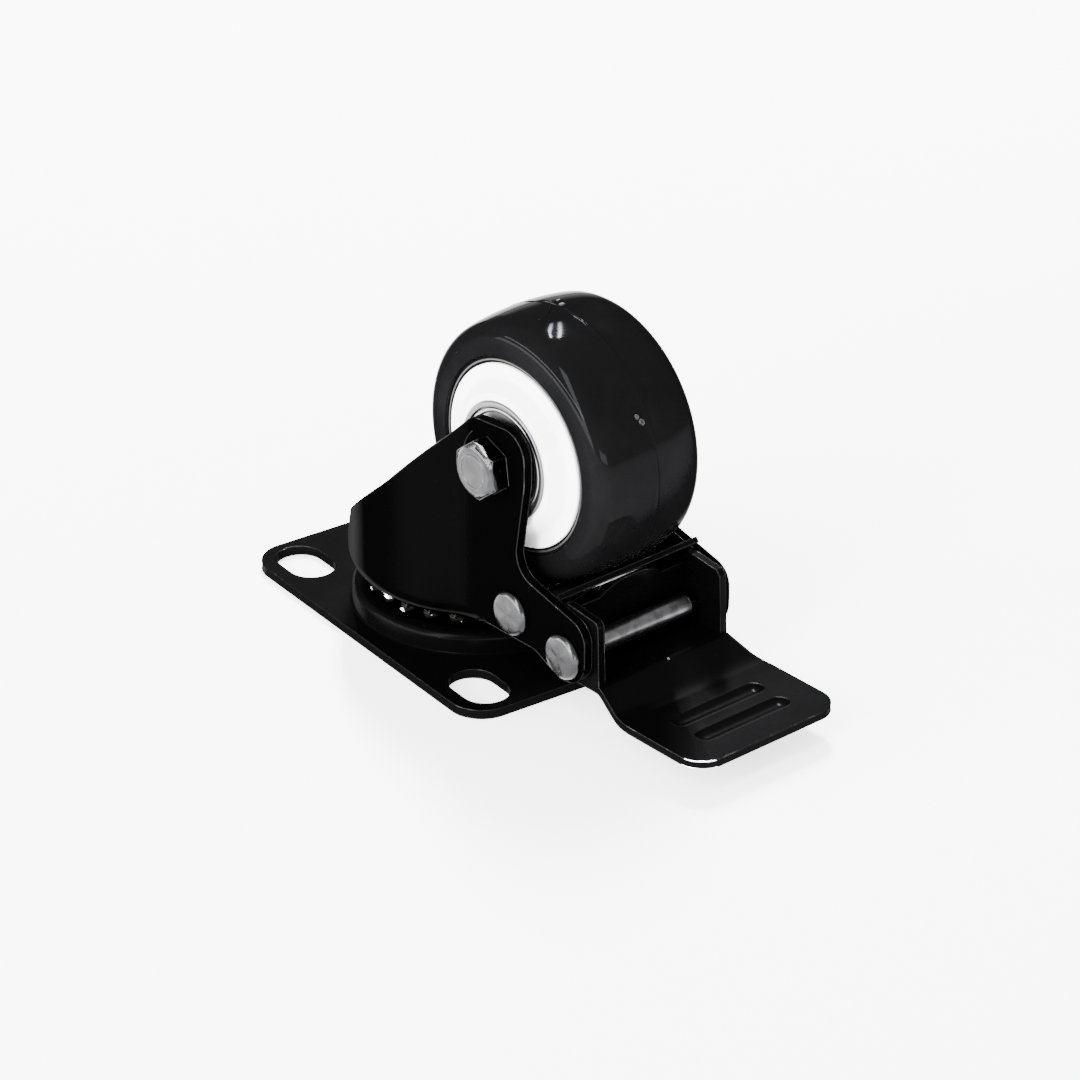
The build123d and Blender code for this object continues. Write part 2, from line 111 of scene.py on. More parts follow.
def colour(name, text, default):
    return FloatVectorProperty(
        name=name, description=text, default=default, subtype="COLOR", size=3, min=0.0, max=1.0)


class CasterSizes(bpy.types.PropertyGroup):
    """Sizes of the dressed meshes."""

    sheet_edge: length("Sheet edge", "Radius of the round bead on the pressed steel's cut edges", 0.13)
    fastener_edge: length(
        "Fastener edge", "Radius of the round bead on the bolt's, the nut's and the sleeve's edges", 0.10)
    wheel_r: length("Wheel radius", "Radius over the tread", 25.0)
    wheel_half: length("Wheel half width", "Half of the tyre's width", 12.0)
    hub_r: length("Hub radius", "Radius of the white hub's face", 17.1)
    crown_drop: length("Crown", "Fall of the tread from its middle to its edge", 1.3)
    rivet_r: length("Rivet head radius", "Radius of the brake rivets' heads", 4.3)
    seam_height: length("Seam height", "Mould line standing proud round the tread", 0.07)
    seam_width: length("Seam width", "Half width of the mould line", 0.16)
    lathe_steps: IntProperty(
        name="Lathe steps", description="Segments round each turned piece", default=192, min=24, max=512)


class CasterFinishes(bpy.types.PropertyGroup):
    """Colours of the finishes."""

    paint: colour("Paint", "Black coating of the pressed steel", (0.002, 0.002, 0.0021))
    # The fork's paint is the plate's coating made darker, with less sheen edge on: a shaded copy, painted
    # shade
    fork: colour("Fork paint", "Black coating of the fork", (0.0009, 0.0009, 0.0009))
    # Edge coating lighter and more mirror-like than the paint: wear, and partly a painted highlight along the
    # edges
    worn_edge_highlight: colour("Worn edge", "Thin coating on the pressed steel's edges", (0.009, 0.009, 0.0093))
    tyre: colour("Tyre", "Black moulded tyre", (0.0036, 0.0036, 0.0038))
    # The lip's grey, lighter than the tyre, is a painted highlight along the lip's edge
    lip: colour("Tyre lip", "Thin lip of the tyre round the hub", (0.022, 0.022, 0.022))
    torn: colour("Torn tyre", "Torn moulding gates on the tread", (0.03, 0.03, 0.03))
    hub: colour("Hub", "White moulded hub", (0.88, 0.88, 0.87))
    # Zinc and the flats' zinc are one plating as a shaded and a lit copy: the flats' far lighter colour is a
    # painted highlight
    zinc: colour("Zinc", "Bright plating of the fasteners", (0.036, 0.036, 0.037))
    clean: colour("Clean zinc", "Plating on the flats of the hexagons", (0.42, 0.42, 0.43))
    sleeve: colour("Sleeve", "Plating of the sleeve, the tube and the king pin", (0.09, 0.09, 0.092))
    steel: colour("Steel", "Ground rings of the bearings", (0.12, 0.12, 0.122))
    shield: colour("Shield", "Pressed shields and balls of the bearings", (0.28, 0.28, 0.284))
    # The swivel balls' near-black is grease, and also painted shade for the gap that they sit in
    grease_and_shade: colour("Grease", "Greased balls of the swivel head", (0.002, 0.002, 0.0019))
    nylon: colour("Nylon", "Lock nut ring and bearing cages", (0.62, 0.61, 0.57))
    floor: colour("Floor", "Pale floor", (0.9, 0.9, 0.9))


class CasterStage(bpy.types.PropertyGroup):
    """Camera and light."""

    camera_azimuth: FloatProperty(
        name="Camera azimuth", description="Camera's side of the caster", default=radians(54.88),
        subtype="ANGLE")
    camera_elevation: FloatProperty(
        name="Camera elevation", description="Camera's height over the floor", default=radians(28.18),
        subtype="ANGLE")
    camera_distance: length("Camera distance", "From the camera to the point that it aims at", 900.0)
    camera_aim: FloatVectorProperty(
        name="Camera aim", description="Point at the middle of the picture", size=3, subtype="TRANSLATION",
        default=(18.3 * MM, 1.2 * MM, 20.6 * MM))
    lens: FloatProperty(name="Lens", description="Focal length", default=166.67, unit="CAMERA")
    room: FloatProperty(name="Room light", description="Strength of the even room light", default=2.0)
    glow: FloatProperty(name="Floor glow", description="Light that the floor gives by itself", default=2.2)
    lamps: FloatProperty(
        name="Lamps", description="Share of their full strength that all lamps have", default=1.0)


# Shader building

class Value:
    """A socket that adds Math nodes when it is used in an expression."""

    def __init__(self, finish, socket):
        self.finish = finish
        self.socket = socket

    def combine(self, operation, left, right):
        return self.finish.node("ShaderNodeMath", {"operation": operation}, {0: left, 1: right})

    def __add__(self, other):
        return self.combine("ADD", self, other)

    def __radd__(self, other):
        return self.combine("ADD", other, self)

    def __sub__(self, other):
        return self.combine("SUBTRACT", self, other)

    def __rsub__(self, other):
        return self.combine("SUBTRACT", other, self)

    def __mul__(self, other):
        return self.combine("MULTIPLY", self, other)

    def __rmul__(self, other):
        return self.combine("MULTIPLY", other, self)

    def __pow__(self, other):
        return self.combine("POWER", self, other)

    def __rpow__(self, other):
        return self.combine("POWER", other, self)

    def __lt__(self, other):
        return self.combine("LESS_THAN", self, other)

    def __gt__(self, other):
        return self.combine("GREATER_THAN", self, other)


class Finish:
    """A material in the making, with its Principled shader and one method for any other node."""

    def __init__(self, name):
        self.material = bpy.data.materials.new(name)
        self.material.use_nodes = True
        self.tree = self.material.node_tree
        self.tree.nodes.clear()
        self.shader = self.tree.nodes.new("ShaderNodeBsdfPrincipled")
        self.output = self.tree.nodes.new("ShaderNodeOutputMaterial")
        self.put(self.output.inputs["Surface"], Value(self, self.shader.outputs["BSDF"]))
        self.place = self.node("ShaderNodeTexCoord", output="Object")

    def put(self, socket, value):
        if isinstance(value, Value):
            self.tree.links.new(value.socket, socket)
        elif socket.type == "RGBA" and len(value) == 3:
            socket.default_value = (*value, 1.0)
        else:
            socket.default_value = value

    def node(self, kind, settings=None, inputs=None, output=0):
        """Any node: its settings first, then its sockets' values or links. Gives one of its outputs."""
        made = self.tree.nodes.new(kind)
        for key, value in (settings or {}).items():
            if key == "stops":
                for element, (position, shade) in zip(made.color_ramp.elements, value):
                    element.position = position
                    element.color = (shade, shade, shade, 1.0)
            else:
                setattr(made, key, value)
        for key, value in (inputs or {}).items():
            self.put(made.inputs[key], value)
        return Value(self, made.outputs[output])

    def set(self, **sockets):
        for name, value in sockets.items():
            self.put(self.shader.inputs[name.replace("_", " ")], value)
        return self

    def matt_edge_on(self, low, high):
        """Fade to a matt black where the surface is seen edge on, between two shares of the way there."""
        matt = self.node(
            "ShaderNodeBsdfPrincipled", None,
            {"Base Color": (0.006, 0.006, 0.006), "Roughness": 0.9, "Specular IOR Level": 0.0}, output="BSDF")
        facing = self.node("ShaderNodeLayerWeight", None, {"Blend": 0.5}, output="Facing")
        glossy = Value(self, self.shader.outputs["BSDF"])
        edge_on = self.ramp(facing, low, high)
        both = self.node("ShaderNodeMixShader", None, {0: edge_on, 1: glossy, 2: matt}, output="Shader")
        self.put(self.output.inputs["Surface"], both)
        return self

    def noise(self, scale, detail=2.0, place=None):
        return self.node(
            "ShaderNodeTexNoise", None,
            {"Vector": place or self.place, "Scale": scale, "Detail": detail}, output="Fac")

    def ramp(self, value, low, high):
        """0 below low, 1 above high, straight between."""
        return self.node("ShaderNodeValToRGB", {"stops": ((low, 0.0), (high, 1.0))}, {"Fac": value})

    def mix(self, factor, first, second):
        return self.node(
            "ShaderNodeMix", {"data_type": "RGBA"}, {"Factor": factor, 6: first, 7: second}, output=2)

    def bump(self, height, depth, strength=1.0):
        """Bump of a height signal, whose full swing is that deep in metres."""
        return self.node(
            "ShaderNodeBump", None,
            {"Strength": strength, "Distance": depth, "Height": height}, output="Normal")

    def round_the_axle(self):
        """Radius and place along the axle, in metres, of a point on the wheel."""
        turn = {"Location": WHEEL_PLACE.translation, "Rotation": (0, 0, SWIVEL_TURN)}
        local = self.node("ShaderNodeMapping", {"vector_type": "TEXTURE"}, {"Vector": self.place, **turn})
        x, y, z = (self.node("ShaderNodeSeparateXYZ", None, {"Vector": local}, output=axis) for axis in "XYZ")
        return (x * x + z * z) ** 0.5, y

    def turning_lines(self, rate):
        """Waves across a surface turned about the axle, at a rate in radians to a metre."""
        radius, along = self.round_the_axle()
        return self.node("ShaderNodeMath", {"operation": "SINE"}, {0: (radius + along) * rate})

    def distance(self, point):
        """Distance in metres from a fixed point of the piece."""
        return self.node(
            "ShaderNodeVectorMath", {"operation": "DISTANCE"}, {0: self.place, 1: point}, output="Value")

    def specks(self, scale, size, share):
        """Sparse round specks: 1 on a speck, 0 elsewhere."""
        settings = {"feature": "F1"}
        inputs = {"Vector": self.place, "Scale": scale}
        near = self.node("ShaderNodeTexVoronoi", settings, inputs, output="Distance")
        tint = self.node("ShaderNodeTexVoronoi", settings, inputs, output="Color")
        return (near < size) * (tint < share)


def black_paint(name, colour_value, shine, tint, wear):
    """Smooth black coating with a faint orange peel, dust on the pad, chips as far as it is worn, and a
    near-white patch at the pad's corner that is bare metal and partly a painted highlight.

    shine is how far it mirrors as metal does, tint how much of that is left edge on, wear a share up to 0.5.
    """
    finish = Finish(name)
    zinc = bpy.context.scene.caster_finishes.zinc
    cloud = finish.noise(scale=90, detail=4)
    peel = finish.noise(scale=700, detail=2)
    from_corner = finish.distance(PAD_CORNER)
    dust = finish.specks(scale=190, size=0.06, share=0.4) * (from_corner < DUST_REACH)
    chips = finish.ramp(finish.noise(scale=420, detail=3), low=0.60, high=0.66) * wear
    ragged = finish.noise(scale=900, detail=3) * BARE_AND_HIGHLIGHT_RAGGED
    # Near-white patch round the pad's corner: bare metal, and partly a painted highlight on that edge
    bare_and_highlight = (from_corner + ragged < BARE_AND_HIGHLIGHT_REACH) * (2.0 * wear)
    coat = finish.mix(chips, colour_value, zinc)
    coat = finish.mix(bare_and_highlight, coat, (0.9, 0.9, 0.9))
    return finish.set(
        Base_Color=finish.mix(dust * 0.3, coat, (0.3, 0.3, 0.29)),
        Metallic=shine,
        Roughness=0.16 + cloud * 0.12 + dust * 0.3,
        Specular_IOR_Level=0.0,
        Specular_Tint=(tint, tint, tint, 1.0),
        Normal=finish.bump(peel + dust * 1.5, depth=0.02 * MM, strength=0.25),
    ).matt_edge_on(low=0.58, high=0.75).material


def tyre_black():
    """Satin moulded tyre: soft smears, faint turning lines and a few nibs."""
    finish = Finish("tyre_black")
    smear = finish.noise(scale=70, detail=5)
    grain = finish.noise(scale=1600, detail=2)
    nibs = finish.specks(scale=240, size=0.045, share=0.12)
    lines = finish.turning_lines(rate=9000)
    return finish.set(
        Base_Color=finish.mix(
            finish.ramp(smear, low=0.45, high=0.75) * 0.5 + nibs * 0.5,
            bpy.context.scene.caster_finishes.tyre, (0.008, 0.008, 0.0085)),
        Metallic=0.45,
        Roughness=0.03 + smear * 0.07,
        Specular_IOR_Level=0.0,
        Specular_Tint=(0.42, 0.42, 0.42, 1.0),
        Normal=finish.bump(grain + lines * 0.12 + nibs, depth=0.02 * MM, strength=0.006),
    ).material


def torn_tyre():
    """Pale torn plastic of the moulding gates."""
    finish = Finish("torn_tyre")
    colours = bpy.context.scene.caster_finishes
    tear = finish.noise(scale=1800, detail=4)
    return finish.set(
        Base_Color=finish.mix(finish.ramp(tear, low=0.4, high=0.7), colours.tyre, colours.torn),
        Roughness=0.4 + tear * 0.2,
        Specular_IOR_Level=0.15,
        Normal=finish.bump(tear, depth=0.05 * MM, strength=0.6),
    ).material


def hub_white():
    """White moulded plastic with a little dirt in a soft cloud."""
    finish = Finish("hub_white")
    cloud = finish.noise(scale=140, detail=5)
    grain = finish.noise(scale=1500, detail=2)
    return finish.set(
        Base_Color=finish.mix(
            finish.ramp(cloud, low=0.52, high=0.8) * 0.35,
            bpy.context.scene.caster_finishes.hub, (0.66, 0.65, 0.62)),
        Roughness=0.32 + cloud * 0.15,
        Normal=finish.bump(grain, depth=0.01 * MM, strength=0.4),
    ).material


def satin_grey(name, colour_value):
    """Satin plastic of one shade with a fine grain; on the tyre's lip its pale grey is a painted highlight.
    """
    finish = Finish(name)
    grain = finish.noise(scale=1500, detail=3)
    return finish.set(
        Base_Color=finish.mix(grain * 0.5, colour_value, (0.01, 0.01, 0.01)),
        Roughness=0.25 + grain * 0.2,
        Specular_IOR_Level=0.2,
        Normal=finish.bump(grain, depth=0.01 * MM, strength=0.2),
    ).material


def bright_zinc(name, colour_value, roughness, dents):
    """Plating with blotches, fine handling scratches and shallow dents of a given depth in mm."""
    finish = Finish(name)
    blotch = finish.noise(scale=450, detail=4)
    fine = finish.noise(scale=2600, detail=3)
    uneven = finish.noise(scale=800, detail=2)
    stretched = finish.node("ShaderNodeMapping", None, {
        "Vector": finish.place, "Scale": (6.0, 1.0, 1.0), "Rotation": (0.4, 0.7, 0.2)})
    scratch = finish.ramp(finish.noise(scale=700, detail=6, place=stretched), low=0.60, high=0.64)
    dark = finish.ramp(blotch, low=0.35, high=0.7) * 0.7
    return finish.set(
        Base_Color=finish.mix(dark, colour_value, (0.018, 0.018, 0.019)),
        Metallic=1.0,
        Roughness=roughness + blotch * 0.10 + scratch * 0.08,
        Normal=finish.bump(fine * 0.2 + scratch * 0.2 + uneven, depth=dents * MM, strength=0.5),
    ).material


def turned_steel(name, colour_value):
    """Ground steel with fine turning lines about the axle."""
    finish = Finish(name)
    lines = finish.turning_lines(rate=26000)
    cloud = finish.noise(scale=300, detail=4)
    grain = finish.noise(scale=3000, detail=2)
    return finish.set(
        Base_Color=finish.mix(cloud * 0.4, colour_value, (0.04, 0.04, 0.041)),
        Metallic=1.0,
        Roughness=0.26 + cloud * 0.14,
        Normal=finish.bump(lines * 0.5 + grain, depth=0.006 * MM, strength=0.3),
    ).material


def ball_steel(name, colour_value, tint, clean):
    """Mirror steel under a film that dulls it, with a share of bare patches that are painted glints."""
    finish = Finish(name)
    haze = finish.noise(scale=500, detail=3)
    # Bare patches on the greased balls are painted glints
    glint_patches = finish.ramp(finish.noise(scale=800, detail=2), low=0.63, high=0.66) * clean
    return finish.set(
        Base_Color=finish.mix(glint_patches, colour_value, (0.5, 0.5, 0.5)),
        Metallic=1.0,
        Roughness=0.06 + haze * 0.10,
        Specular_Tint=(tint, tint, tint, 1.0),
    ).material


def natural_nylon():
    """Pale nylon with a soft cloud."""
    finish = Finish("natural_nylon")
    cloud = finish.noise(scale=600, detail=3)
    return finish.set(
        Base_Color=finish.mix(cloud, bpy.context.scene.caster_finishes.nylon, (0.5, 0.49, 0.45)),
        Roughness=0.38 + cloud * 0.15,
        Normal=finish.bump(cloud, depth=0.01 * MM, strength=0.3),
    ).material


def pale_floor():
    """Pale matt table that glows a little, as a light table does."""
    finish = Finish("pale_floor")
    grain = finish.noise(scale=30, detail=3)
    return finish.set(
        Base_Color=finish.mix(grain * 0.05, bpy.context.scene.caster_finishes.floor, (0.8, 0.8, 0.8)),
        Roughness=0.9,
        Specular_IOR_Level=0.0,
        Emission_Color=(1.0, 1.0, 1.0, 1.0),
        Emission_Strength=bpy.context.scene.caster_stage.glow,
    ).material


FINISHES = {}


def finish_for(key):
    """A finish by name, made the first time that a piece asks for it."""
    colours = bpy.context.scene.caster_finishes
    makers = {
        "paint": lambda: black_paint("gloss_black_paint", colours.paint, shine=0.6, tint=0.5, wear=0.0),
        # Darker, shaded copy of the black paint for the fork: painted shade
        "fork_shaded_paint": lambda: black_paint("fork_shaded_black_paint", colours.fork, shine=0.6, tint=0.34, wear=0.0),
        # Edge bead finish: chips of wear, and a lighter coating that is partly a painted highlight
        "worn": lambda: black_paint("worn_paint_edge_highlight", colours.worn_edge_highlight, shine=1.0, tint=0.3, wear=0.5),
        "tyre": tyre_black,
        "torn": torn_tyre,
        "hub": hub_white,
        "zinc": lambda: bright_zinc("bright_zinc", colours.zinc, roughness=0.08, dents=0.012),
        "rivet_zinc": lambda: bright_zinc("rivet_zinc", colours.zinc, roughness=0.17, dents=0.06),
        "dull_zinc": lambda: bright_zinc("dull_zinc", colours.sleeve, roughness=0.28, dents=0.006),
        "edge_zinc": lambda: bright_zinc("edge_zinc", colours.zinc, roughness=0.25, dents=0.03),
        # Lit copy of the zinc for the hexagon flats: a painted highlight
        "lit_flat_zinc": lambda: bright_zinc("lit_flat_zinc", colours.clean, roughness=0.03, dents=0.0),
        # Grey of the tyre's lip: a painted highlight
        "lip": lambda: satin_grey("tyre_lip_painted_highlight", colours.lip),
        "steel": lambda: turned_steel("ground_steel", colours.steel),
        "shield": lambda: turned_steel("pressed_shield", colours.shield),
        "ball": lambda: ball_steel("polished_ball", colours.shield, tint=1.0, clean=0.0),
        # Swivel balls: near-black painted shade with bare patches as painted glints
        "greased_ball_painted_shade": lambda: ball_steel("greased_ball_painted_shade", colours.grease_and_shade, tint=0.1, clean=1.0),
        "nylon": natural_nylon,
        "floor": pale_floor,
    }
    if key not in FINISHES:
        FINISHES[key] = makers[key]()
    return FINISHES[key]


# Mesh building

def add_piece(name, mesh, body, keys, nodes=()):
    """Object for a finished mesh, riding on a body, with its finishes, standing for its CAD nodes."""
    piece = bpy.data.objects.new(name, mesh)
    bpy.context.scene.collection.objects.link(piece)
    slots = [face.material_index for face in mesh.polygons]
    mesh.materials.clear()
    for key in keys:
        mesh.materials.append(finish_for(key))
    mesh.polygons.foreach_set("material_index", slots)
    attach(piece, body)
    if nodes:
        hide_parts(*nodes)


def join_pieces(name, meshes, body, key, nodes=()):
    """One piece from several meshes with the same finish."""
    work = bmesh.new()
    for mesh in meshes:
        work.from_mesh(mesh)
        bpy.data.meshes.remove(mesh)
    joined = bpy.data.meshes.new(name)
    work.to_mesh(joined)
    work.free()
    add_piece(name, joined, body, (key,), nodes)


def plain_mesh(piece):
    """The evaluated mesh of an object, which is then removed with its modifiers."""
    graph = bpy.context.evaluated_depsgraph_get()
    mesh = bpy.data.meshes.new_from_object(piece.evaluated_get(graph))
    bpy.data.objects.remove(piece)
    return mesh


def merged(node):
    """Copy of a CAD node's mesh with its points joined and its flat areas made single faces."""
    mesh = frame["nodes"][node].data.copy()
    work = bmesh.new()
    work.from_mesh(mesh)
    bmesh.ops.remove_doubles(work, verts=work.verts, dist=MERGE)
    bmesh.ops.dissolve_degenerate(work, edges=work.edges, dist=MERGE)
    bmesh.ops.dissolve_limit(work, angle_limit=LEVEL, verts=work.verts, edges=work.edges)
    work.to_mesh(mesh)
    work.free()
    mesh.shade_smooth()
    mesh.set_sharp_from_angle(angle=SHARP_SOLID)
    return mesh


def edged(node, tree, radius, angle, shortest=0.0):
    """Copy of a CAD node with a round bead along its sharp edges. The bead takes slot 1."""
    mesh = merged(node)
    bead = tree.mesh({
        "Sharp angle": angle, "Shortest": shortest, "Radius": radius, "Sink": BEAD_SINK * radius,
        "Material": finish_for("worn")}, mesh.copy())
    work = bmesh.new()
    work.from_mesh(mesh)
    plain = len(work.faces)
    work.from_mesh(bead)
    bpy.data.meshes.remove(bead)
    work.faces.ensure_lookup_table()
    for index, face in enumerate(work.faces):
        face.material_index = int(index >= plain)
    work.to_mesh(mesh)
    work.free()
    piece = bpy.data.objects.new(node + "_work", mesh)
    bpy.context.scene.collection.objects.link(piece)
    even = piece.modifiers.new("flat areas stay flat", "WEIGHTED_NORMAL")
    even.keep_sharp = True
    return plain_mesh(piece)


def rounded(corners, steps=8):
    """Points of a closed outline from (u, v, corner radius) triples, with each round corner as an arc."""
    points = []
    count = len(corners)
    for index, (u, v, radius) in enumerate(corners):
        here = Vector((u, v))
        if not radius:
            points.append(here)
            continue
        before = (Vector(corners[index - 1][:2]) - here).normalized()
        after = (Vector(corners[(index + 1) % count][:2]) - here).normalized()
        half = acos(max(-1.0, min(1.0, before.dot(after)))) / 2
        centre = here + (before + after).normalized() * (radius / sin(half))
        reach = radius / tan(half)
        start = here + before * reach - centre
        end = here + after * reach - centre
        sweep = start.angle_signed(end)
        for step in range(steps + 1):
            angle = -sweep * step / steps
            points.append(centre + Matrix.Rotation(angle, 2) @ start)
    return points


def lathe(name, points, place, dent=None):
    """Closed (radius, along) outline turned about Y and put in place. A point on the axis is a pole.

    dent(radius, along, angle) gives how far a point is pushed along the axis.
    """
    steps = bpy.context.scene.caster_sizes.lathe_steps
    work = bmesh.new()

    def spot(radius, along, angle):
        push = dent(radius, along, angle) if dent else 0.0
        return work.verts.new((radius * cos(angle), along + push, radius * sin(angle)))

    rings = []
    for radius, along in points:
        if radius < 1e-7:
            rings.append([spot(0.0, along, 0.0)] * steps)
        else:
            rings.append([spot(radius, along, tau * step / steps) for step in range(steps)])
    for ring, following in zip(rings, rings[1:] + rings[:1]):
        for step in range(steps):
            after = (step + 1) % steps
            loop = [ring[step], ring[after], following[after], following[step]]
            corners = list(dict.fromkeys(loop))
            if len(corners) > 2:
                work.faces.new(corners)
    bmesh.ops.recalc_face_normals(work, faces=work.faces)
    mesh = bpy.data.meshes.new(name)
    work.to_mesh(mesh)
    work.free()
    mesh.transform(place)
    mesh.shade_smooth()
    mesh.set_sharp_from_angle(angle=SHARP_LATHE)
    return mesh


def tread_radius(sizes, along):
    """Radius of the crowned tread at a place along the axle."""
    crown = (sizes.wheel_half ** 2 + sizes.crown_drop ** 2) / (2 * sizes.crown_drop)
    return sizes.wheel_r - crown + sqrt(crown ** 2 - along ** 2)


def on_tread(angle, along_mm, lift_mm):
    """Point on the tread, in the wheel's own space, at degrees about the axle, lifted off the surface."""
    along = along_mm * MM
    radius = tread_radius(bpy.context.scene.caster_sizes, along) + lift_mm * MM
    return Vector((radius * cos(radians(angle)), along, radius * sin(radians(angle))))


def mirrored(half):
    """Outline corners of one side and, in the other order, of the other side."""
    return half + [(r, -y, corner) for r, y, corner in reversed(half)]


def in_metres(corners):
    return [tuple(value * MM for value in corner) for corner in corners]


def middle_height(node):
    """Height of the middle of a CAD node over the mounting face."""
    low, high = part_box(node)
    return (low[2] + high[2]) / 2


# Geometry Nodes

class Tree:
    """A Geometry Nodes tree in the making, with named inputs."""

    def __init__(self, name, inputs):
        self.tree = bpy.data.node_groups.new(name, "GeometryNodeTree")
        self.identifiers = {}
        for label, kind in inputs.items():
            socket = self.tree.interface.new_socket(label, in_out="INPUT", socket_type=kind)
            self.identifiers[label] = socket.identifier
        self.tree.interface.new_socket("Geometry", in_out="OUTPUT", socket_type="NodeSocketGeometry")
        self.inputs = self.tree.nodes.new("NodeGroupInput").outputs

    def node(self, kind, settings=None, inputs=None, output=0):
        made = self.tree.nodes.new(kind)
        for key, value in (settings or {}).items():
            setattr(made, key, value)
        for key, value in (inputs or {}).items():
            if isinstance(value, bpy.types.NodeSocket):
                self.tree.links.new(value, made.inputs[key])
            else:
                made.inputs[key].default_value = value
        return made.outputs[output]

    def finish(self, geometry):
        """Ends the tree: realised, smooth and with its material."""
        real = self.node("GeometryNodeRealizeInstances", None, {"Geometry": geometry})
        smooth = self.node("GeometryNodeSetShadeSmooth", None, {"Geometry": real})
        painted = self.node("GeometryNodeSetMaterial", None, {
            "Geometry": smooth, "Material": self.inputs["Material"]})
        self.tree.links.new(painted, self.tree.nodes.new("NodeGroupOutput").inputs["Geometry"])

    def mesh(self, values, start=None):
        """Plain mesh of the tree with these input values, on a starting mesh where it needs one."""
        carrier = bpy.data.objects.new("carrier", start or bpy.data.meshes.new("carrier"))
        bpy.context.scene.collection.objects.link(carrier)
        modifier = carrier.modifiers.new("tree", "NODES")
        modifier.node_group = self.tree
        for label, value in values.items():
            modifier[self.identifiers[label]] = value
        return plain_mesh(carrier)


def ball_ring_tree():
    """Balls spread evenly on a circle in the X-Y plane."""
    tree = Tree("ball_ring", {
        "Count": "NodeSocketInt",
        "Pitch radius": "NodeSocketFloat",
        "Ball radius": "NodeSocketFloat",
        "Material": "NodeSocketMaterial",
    })
    circle = tree.node(
        "GeometryNodeMeshCircle", None,
        {"Vertices": tree.inputs["Count"], "Radius": tree.inputs["Pitch radius"]})
    ball = tree.node(
        "GeometryNodeMeshUVSphere", None,
        {"Segments": 32, "Rings": 20, "Radius": tree.inputs["Ball radius"]})
    tree.finish(tree.node("GeometryNodeInstanceOnPoints", None, {"Points": circle, "Instance": ball}))
    return tree


def thread_tree():
    """One ridge wound along Z, as a screw thread."""
    tree = Tree("thread", {
        "Turns": "NodeSocketFloat",
        "Radius": "NodeSocketFloat",
        "Height": "NodeSocketFloat",
        "Ridge": "NodeSocketFloat",
        "Material": "NodeSocketMaterial",
    })
    wound = tree.node("GeometryNodeCurveSpiral", None, {
        "Resolution": 48, "Rotations": tree.inputs["Turns"], "Start Radius": tree.inputs["Radius"],
        "End Radius": tree.inputs["Radius"], "Height": tree.inputs["Height"]})
    ridge = tree.node("GeometryNodeCurvePrimitiveCircle", {"mode": "RADIUS"}, {
        "Resolution": 6, "Radius": tree.inputs["Ridge"]})
    tree.finish(tree.node(
        "GeometryNodeCurveToMesh", None, {"Curve": wound, "Profile Curve": ridge, "Fill Caps": True}))
    return tree


def edge_bead_tree():
    """Round bead along the sharp edges of a mesh, sunk into it so that it only just stands proud."""
    tree = Tree("edge_bead", {
        "Geometry": "NodeSocketGeometry",
        "Sharp angle": "NodeSocketFloat",
        "Shortest": "NodeSocketFloat",
        "Radius": "NodeSocketFloat",
        "Sink": "NodeSocketFloat",
        "Material": "NodeSocketMaterial",
    })
    angle = tree.node("GeometryNodeInputMeshEdgeAngle")
    sharp = tree.node(
        "FunctionNodeCompare", {"data_type": "FLOAT", "operation": "GREATER_THAN"},
        {0: angle, 1: tree.inputs["Sharp angle"]})
    inward = tree.node("ShaderNodeMath", {"operation": "MULTIPLY"}, {0: tree.inputs["Sink"], 1: -1.0})
    outward = tree.node("GeometryNodeInputNormal")
    shift = tree.node("ShaderNodeVectorMath", {"operation": "SCALE"}, {0: outward, "Scale": inward})
    sunk = tree.node(
        "GeometryNodeSetPosition", None, {"Geometry": tree.inputs["Geometry"], "Offset": shift})
    path = tree.node("GeometryNodeMeshToCurve", None, {"Mesh": sunk, "Selection": sharp})
    short = tree.node(
        "FunctionNodeCompare", {"data_type": "FLOAT", "operation": "LESS_THAN"},
        {0: tree.node("GeometryNodeSplineLength"), 1: tree.inputs["Shortest"]})
    kept = tree.node(
        "GeometryNodeDeleteGeometry", {"domain": "CURVE"}, {"Geometry": path, "Selection": short})
    ring = tree.node("GeometryNodeCurvePrimitiveCircle", {"mode": "RADIUS"}, {
        "Resolution": 8, "Radius": tree.inputs["Radius"]})
    tree.finish(tree.node(
        "GeometryNodeCurveToMesh", None, {"Curve": kept, "Profile Curve": ring, "Fill Caps": True}))
    return tree


# Pieces

# Body and coat of each pressing
PRESSINGS = {
    "mounting_plate": ("plate", "paint"),
    "race_cap": ("plate", "paint"),
    "fork": ("fork", "fork_shaded_paint"),
    "brake_pedal": ("pedal", "paint"),
    "brake_shoe": ("shoe", "paint"),
}


class CASTER_OT_pressings(bpy.types.Operator):
    """Plate, race cap, fork, pedal and shoe with worn sheet edges that partly carry a painted highlight, and
    the wall of the plate's boss
    """

    bl_idname = "caster.pressings"
    bl_label = "Pressed steel"

    # Radius, height and corner radius in mm
    boss_wall = (
        (23.0, 1.7, 0), (23.0, 5.75, 1.2), (20.6, 5.75, 0), (20.6, 5.5, 0), (21.2, 5.0, 0), (21.6, 1.7, 0))

    def execute(self, context):
        tree = edge_bead_tree()
        edge = context.scene.caster_sizes.sheet_edge
        for node, (body, coat) in PRESSINGS.items():
            mesh = edged(node, tree, edge, SHEET_BEAD_ANGLE, SHEET_BEAD_SHORTEST)
            add_piece("dressed_" + node, mesh, body, (coat, "worn"), (node,))
        mesh = lathe("plate_boss", rounded(in_metres(self.boss_wall)), STAND_UP)
        add_piece("plate_boss", mesh, "plate", ("paint",))
        return {"FINISHED"}


